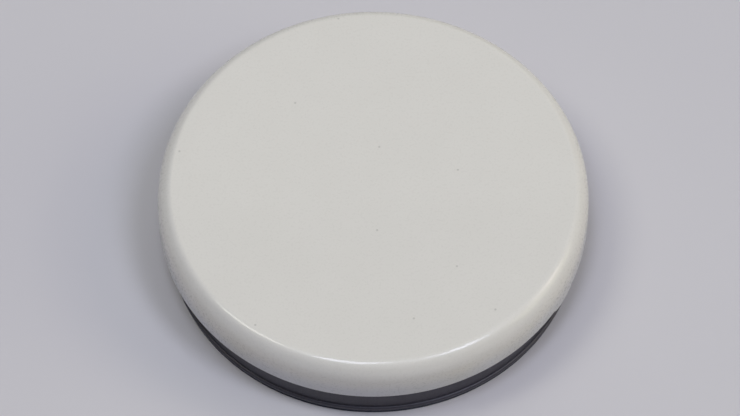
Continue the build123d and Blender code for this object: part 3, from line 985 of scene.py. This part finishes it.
def wound_section():
    """The coil's section as (inset, height), with a bump for each wire on its top and sides."""
    bottom, top = pocket_floor, high("coil_left")
    layers, turns = round((top - bottom) / WIRE), round(COIL_BAND / WIRE)
    pitch_up, pitch_in = (top - bottom) / layers, COIL_BAND / turns
    bump = [(k / 4, math.sin(math.pi * k / 4) * WIRE_BUMP) for k in range(4)]
    section = []
    for layer in range(layers):
        section += [(WIRE_BUMP - out, bottom + (layer + t) * pitch_up) for t, out in bump]
    for turn in range(turns):
        section += [((turn + t) * pitch_in, top - WIRE_BUMP + out) for t, out in bump]
    for layer in range(layers):
        section += [(COIL_BAND - WIRE_BUMP + out, top - (layer + t) * pitch_up) for t, out in bump]
    return [(min(max(d, 0.0), COIL_BAND), max(bottom + 0.002, min(z, top))) for d, z in section]


def enamelled_copper():
    finish = Finish("enamelled_copper", Metallic=1.0, Coat_Roughness=0.12, Coat_IOR=1.6)
    varnish, fine = finish.noise(1.5, 4.0), finish.noise(16.0, 3.0)
    finish.feed(Base_Color=finish.mix(varnish, (0.60, 0.24, 0.09), (0.74, 0.35, 0.16)))
    finish.feed(Roughness=fine.ramp(0.3, 0.7, (0.24, 0.38)), Coat_Weight=varnish.ramp(0.3, 0.7, (0.4, 0.8)))
    return finish.relief(fine * 0.5, 0.002)


copper = enamelled_copper()
section = wound_section()
for side, name in ((1, "left"), (-1, "right")):
    coil_shape = Shape()
    rings = [[(x, y, z) for x, y in inset(coil_outlines[side], d)] for d, z in section]
    coil_shape.skin(rings, around=True)
    coil_shape.piece("wound_coil_" + name, "rotor", "coil_copper", copper, ["coil_" + name])

# %% [markdown]
# Each coil's two ends leave its top, cross the frame's edge and drop to the board, where they are soldered.
# They are free wires, so each is a curve with a round section through a few points, which Blender smooths.

# %% Leads from the coils to the board
def lead(points, name):
    """A fine wire through points, as a curve with a round section."""
    curve = bpy.data.curves.new(name, "CURVE")
    curve.dimensions, curve.bevel_depth, curve.bevel_resolution = "3D", WIRE / 2 * MM, 3
    curve.resolution_u, curve.use_fill_caps = 8, True
    spline = curve.splines.new("BEZIER")
    spline.bezier_points.add(len(points) - 1)
    for target, point in zip(spline.bezier_points, points):
        target.co = [v * MM for v in point]
        target.handle_left_type = target.handle_right_type = "AUTO"
    curve.materials.append(copper)
    made = bpy.data.objects.new(name, curve)
    bpy.context.scene.collection.objects.link(made)
    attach(made, "rotor")


# Each point of the route: degrees round the rotor, and millimetres above the frame's or the board's top.
OVER_FRAME = ((86.5, -0.09), (89.5, 0.010), (92.0, 0.026), (94.6, 0.026), (96.1, -0.10))
DOWN_TO_BOARD = ((96.6, 0.30), (98.3, 0.08), (99.6, 0.035))
route = [(degrees, rotor_top + rise) for degrees, rise in OVER_FRAME]
route += [(degrees, board_top + rise) for degrees, rise in DOWN_TO_BOARD]
for side, word in ((1, "left"), (-1, "right")):
    for away, place_word in zip(JOINT_RADII, ("inner", "outer")):
        points = [(*polar(away, side * degrees)[:2], level) for degrees, level in route]
        lead(points, f"coil_lead_{word}_{place_word}")

# %% [markdown]
# ## The counterweight
# Sintered tungsten alloy, the heaviest thing that is easy to press into shape. It is a dull grey metal with
# a fine powdery grain and slightly soft edges, and it fills the frame's open bay.

# %% Counterweight
WEIGHT_ROUND, WEIGHT_EDGE = 0.15, 0.04
tungsten = turned_metal(
    "tungsten_alloy", (0.22, 0.22, 0.23), (0.33, 0.33, 0.34), (0.42, 0.60),
    scale=14.0, depth=0.010, pores=0.35,
)
weight = ring_sector(WEIGHT_INNER + 0.01, rotor_radius, WEIGHT_HALF - 0.15, WEIGHT_ROUND)
weight_shape = Shape().slab(weight, low("counterweight"), high("counterweight"), WEIGHT_EDGE)
weight_shape.piece("tungsten_weight", "rotor", "weight_tungsten", tungsten, ["counterweight"])

# %% [markdown]
# ## The setting
# A plain pale surface, and four small lamps in a row overhead, as in a room with ceiling lights. The row is
# what draws the broken bright line along the cover's far rounded edge and the soft double shadow. Three wide
# lamps above, beside and behind, and a dim cool surround, only fill the shade and tint the wall.

# %% Floor, surround and lamps
def pale_floor():
    finish = Finish("pale_floor", Roughness=0.9, Specular_IOR_Level=0.15)
    soft = finish.noise(0.15, 3.0)
    finish.feed(Base_Color=finish.mix(soft, (0.618, 0.596, 0.621), (0.633, 0.613, 0.635)))
    finish.feed(Roughness=soft.ramp(0.2, 0.8, (0.85, 0.95)))
    return finish.material


FLOOR_HALF, FLOOR_LEVEL = 1.0, -0.005 * MM
corners = [(x * FLOOR_HALF, y * FLOOR_HALF, FLOOR_LEVEL) for x, y in ((-1, -1), (1, -1), (1, 1), (-1, 1))]
floor_mesh = bpy.data.meshes.new("floor")
floor_mesh.from_pydata(corners, [], [(0, 1, 2, 3)])
floor_mesh.materials.append(pale_floor())
floor = bpy.data.objects.new("floor", floor_mesh)
bpy.context.scene.collection.objects.link(floor)

world = bpy.data.worlds.new("surround")
world.use_nodes = True
surround = world.node_tree.nodes["Background"]
surround.inputs["Color"].default_value = (0.80, 0.86, 1.0, 1.0)
surround.inputs["Strength"].default_value = 0.02
bpy.context.scene.world = world

# Each lamp: direction from the motor, distance and sides in metres, power in watts, colour.
lamps = {
    "row_far_left": ((-0.430, -0.030, 0.902), 0.6, (0.126, 0.21), 0.60, (1.0, 0.99, 0.85)),
    "row_left": ((-0.092, -0.205, 0.974), 0.6, (0.126, 0.21), 0.86, (0.78, 0.82, 1.0)),
    "row_right": ((0.378, -0.270, 0.885), 0.6, (0.126, 0.21), 0.90, (0.78, 0.83, 1.0)),
    "row_far_right": ((0.720, 0.070, 0.690), 0.6, (0.126, 0.21), 0.34, (1.0, 0.84, 0.76)),
    "ceiling": ((0.0, 0.0, 1.0), 1.5, (1.6, 1.6), 3.4, (0.93, 1.0, 1.0)),
    "side": ((0.91, -0.10, 0.40), 1.5, (0.9, 0.9), 4.4, (1.0, 0.98, 0.66)),
    "behind": ((0.0, 0.80, 0.60), 1.5, (1.2, 1.2), 2.4, (1.0, 1.0, 0.85)),
}
for name, (direction, distance, sides, power, colour) in lamps.items():
    lamp = bpy.data.lights.new(name, "AREA")
    lamp.shape, lamp.size, lamp.size_y, lamp.energy, lamp.color = "RECTANGLE", *sides, power, colour
    holder = bpy.data.objects.new(name, lamp)
    aim = Vector(direction).normalized()
    holder.location = aim * distance
    holder.rotation_mode = "QUATERNION"
    holder.rotation_quaternion = (-aim).to_track_quat("-Z", "Y")
    bpy.context.scene.collection.objects.link(holder)
print("lamps", len(lamps), "over a floor of", 2 * FLOOR_HALF, "m")

# %% [markdown]
# The camera looks down at the disc through a long lens from far back, so the circle stays nearly free of
# perspective. It aims just beside the middle of the cover's rim, which sets where the disc sits in the frame.

# %% Camera
ELEVATION, CAMERA_DISTANCE, LENS = math.radians(58.6), 0.210, 365.9
AIM_ACROSS, AIM_UP = -0.092 * MM, 0.087 * MM
back = Vector((0, -math.cos(ELEVATION), math.sin(ELEVATION)))
up = Vector((0, math.sin(ELEVATION), math.cos(ELEVATION)))
rim_centre = Vector((0, 0, (high("cover") - COVER_HEIGHT) * MM))
target = rim_centre + Vector((AIM_ACROSS, 0, 0)) + up * AIM_UP
camera_data = bpy.data.cameras.new("camera")
camera_data.lens, camera_data.sensor_width = LENS, 36.0
camera_data.clip_start, camera_data.clip_end = 0.01, 10.0
camera = bpy.data.objects.new("camera", camera_data)
camera.location = target + back * CAMERA_DISTANCE
camera.rotation_mode = "QUATERNION"
camera.rotation_quaternion = (-back).to_track_quat("-Z", "Y")
bpy.context.scene.collection.objects.link(camera)
bpy.context.scene.camera = camera
bpy.context.scene.view_settings.view_transform = "Standard"
print("camera at", [round(v, 4) for v in camera.location])
